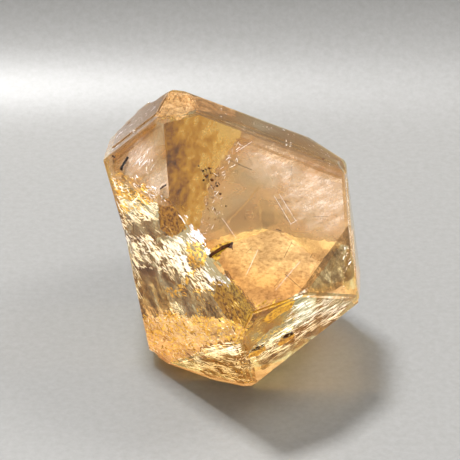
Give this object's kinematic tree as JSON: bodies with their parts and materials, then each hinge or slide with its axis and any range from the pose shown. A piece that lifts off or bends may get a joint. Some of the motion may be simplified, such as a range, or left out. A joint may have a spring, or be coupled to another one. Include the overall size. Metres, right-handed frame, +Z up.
{
  "type": "limonite included quartz crystal",
  "caption": "Stubby double-ended quartz crystal, clear to golden, with rusty limonite films and fine needles inside. It lies on a worn flat side.",
  "frame": {"origin": "under the middle of the crystal's bounding box, on the surface that it rests on", "axes": "+Z up from the worn flat side that it rests on; +Y along the crystal from its front point to its back point, which is the longest way; +X to the right when it is seen from the front point"},
  "size_m": [0.0406, 0.0562, 0.0388],
  "materials": {
    "quartz": "natural glossy crystal faces, clear quartz tinted gold by limonite inside"
  },
  "bodies": {
    "root": {"quartz_crystal": "quartz"}
  },
  "joints": []
}
